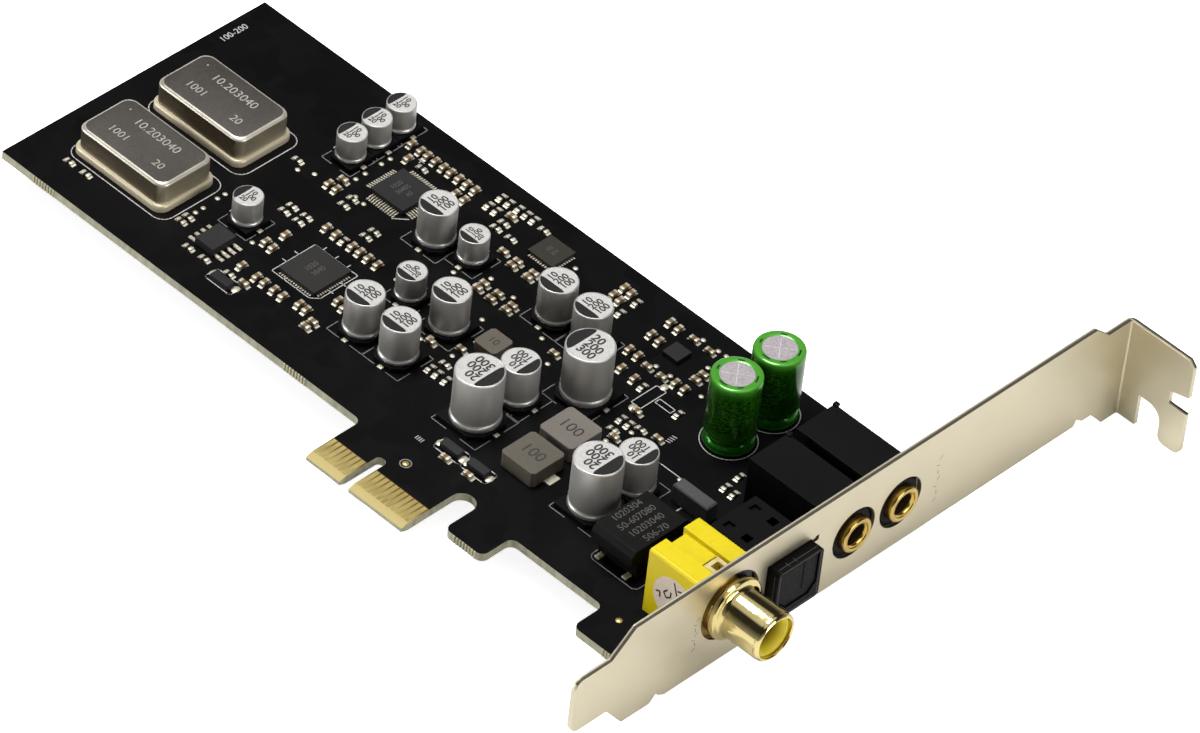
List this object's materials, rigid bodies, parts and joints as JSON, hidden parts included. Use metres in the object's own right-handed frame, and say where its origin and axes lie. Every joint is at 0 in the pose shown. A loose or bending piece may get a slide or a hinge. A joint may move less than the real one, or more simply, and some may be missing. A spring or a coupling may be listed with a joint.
{
  "type": "computer sound card",
  "caption": "Low board with an edge connector and a tall metal bracket; phono, optical and two round audio sockets, metal oscillator cans, round capacitors and chips.",
  "frame": {"origin": "centre of the edge connector's key notch, at the tongue's lower edge and half-way through the board", "axes": "+X along the board and out through the bracket, +Y from the edge connector to the board's top edge, +Z from the solder side to the component side"},
  "size_m": [0.1592, 0.1201, 0.0215],
  "materials": {
    "solder_mask": "satin black",
    "gold": "polished gold plating",
    "nickel": "satin nickel",
    "zinc": "plain zinc",
    "yellow": "gloss yellow",
    "black_plastic": "matt black",
    "clip_metal": "bright tin",
    "can_metal": "satin nickel silver",
    "can_aluminium": "brushed",
    "base_black": "matt black",
    "green_sleeve": "gloss green",
    "ferrite": "matt grey",
    "chip_black": "matt dark grey",
    "ceramic": "matt tan",
    "silver": "tin"
  },
  "bodies": {
    "card": {"circuit_board": "solder_mask", "edge_contacts": "gold", "mounting_bracket": "nickel", "bracket_screws": "zinc", "bracket_nuts": "zinc", "phono_housing": "yellow", "phono_barrel": "gold", "phono_insulator": "yellow", "phono_centre_contact": "gold", "phono_earth_clip": "clip_metal", "optical_housing": "black_plastic", "near_jack_housing": "black_plastic", "near_jack_bush": "gold", "far_jack_housing": "black_plastic", "far_jack_bush": "gold", "jack_contacts": "gold", "lower_oscillator": "can_metal", "upper_oscillator": "can_metal", "small_capacitor_cans": "can_aluminium", "small_capacitor_bases": "base_black", "medium_capacitor_cans": "can_aluminium", "medium_capacitor_bases": "base_black", "large_capacitor_cans": "can_aluminium", "large_capacitor_bases": "base_black", "tall_capacitor_sleeves": "green_sleeve", "tall_capacitor_tops": "can_aluminium", "power_inductor": "ferrite", "filter_inductor": "ferrite", "small_inductor": "ferrite", "signal_transformer": "black_plastic", "film_capacitor": "ferrite", "flat_pack_chip": "chip_black", "bus_chip": "chip_black", "converter_chip": "chip_black", "eight_lead_chip": "chip_black", "amplifier_chip": "chip_black", "ceramic_capacitors": "ceramic", "chip_resistors": "chip_black", "power_diodes": "chip_black", "silver_terminals": "silver", "lead_ends": "silver"},
    "door": {"optical_door": "black_plastic"}
  },
  "joints": [
    {"name": "door_hinge", "type": "hinge", "parent": "card", "child": "door", "pos_m": [0.0608, 0.0327, 0.0088], "axis": [0, 1, 0], "range_deg": [0, 80], "stiffness_Nm_per_rad": 0.0001, "springref_deg": -17.19}
  ]
}
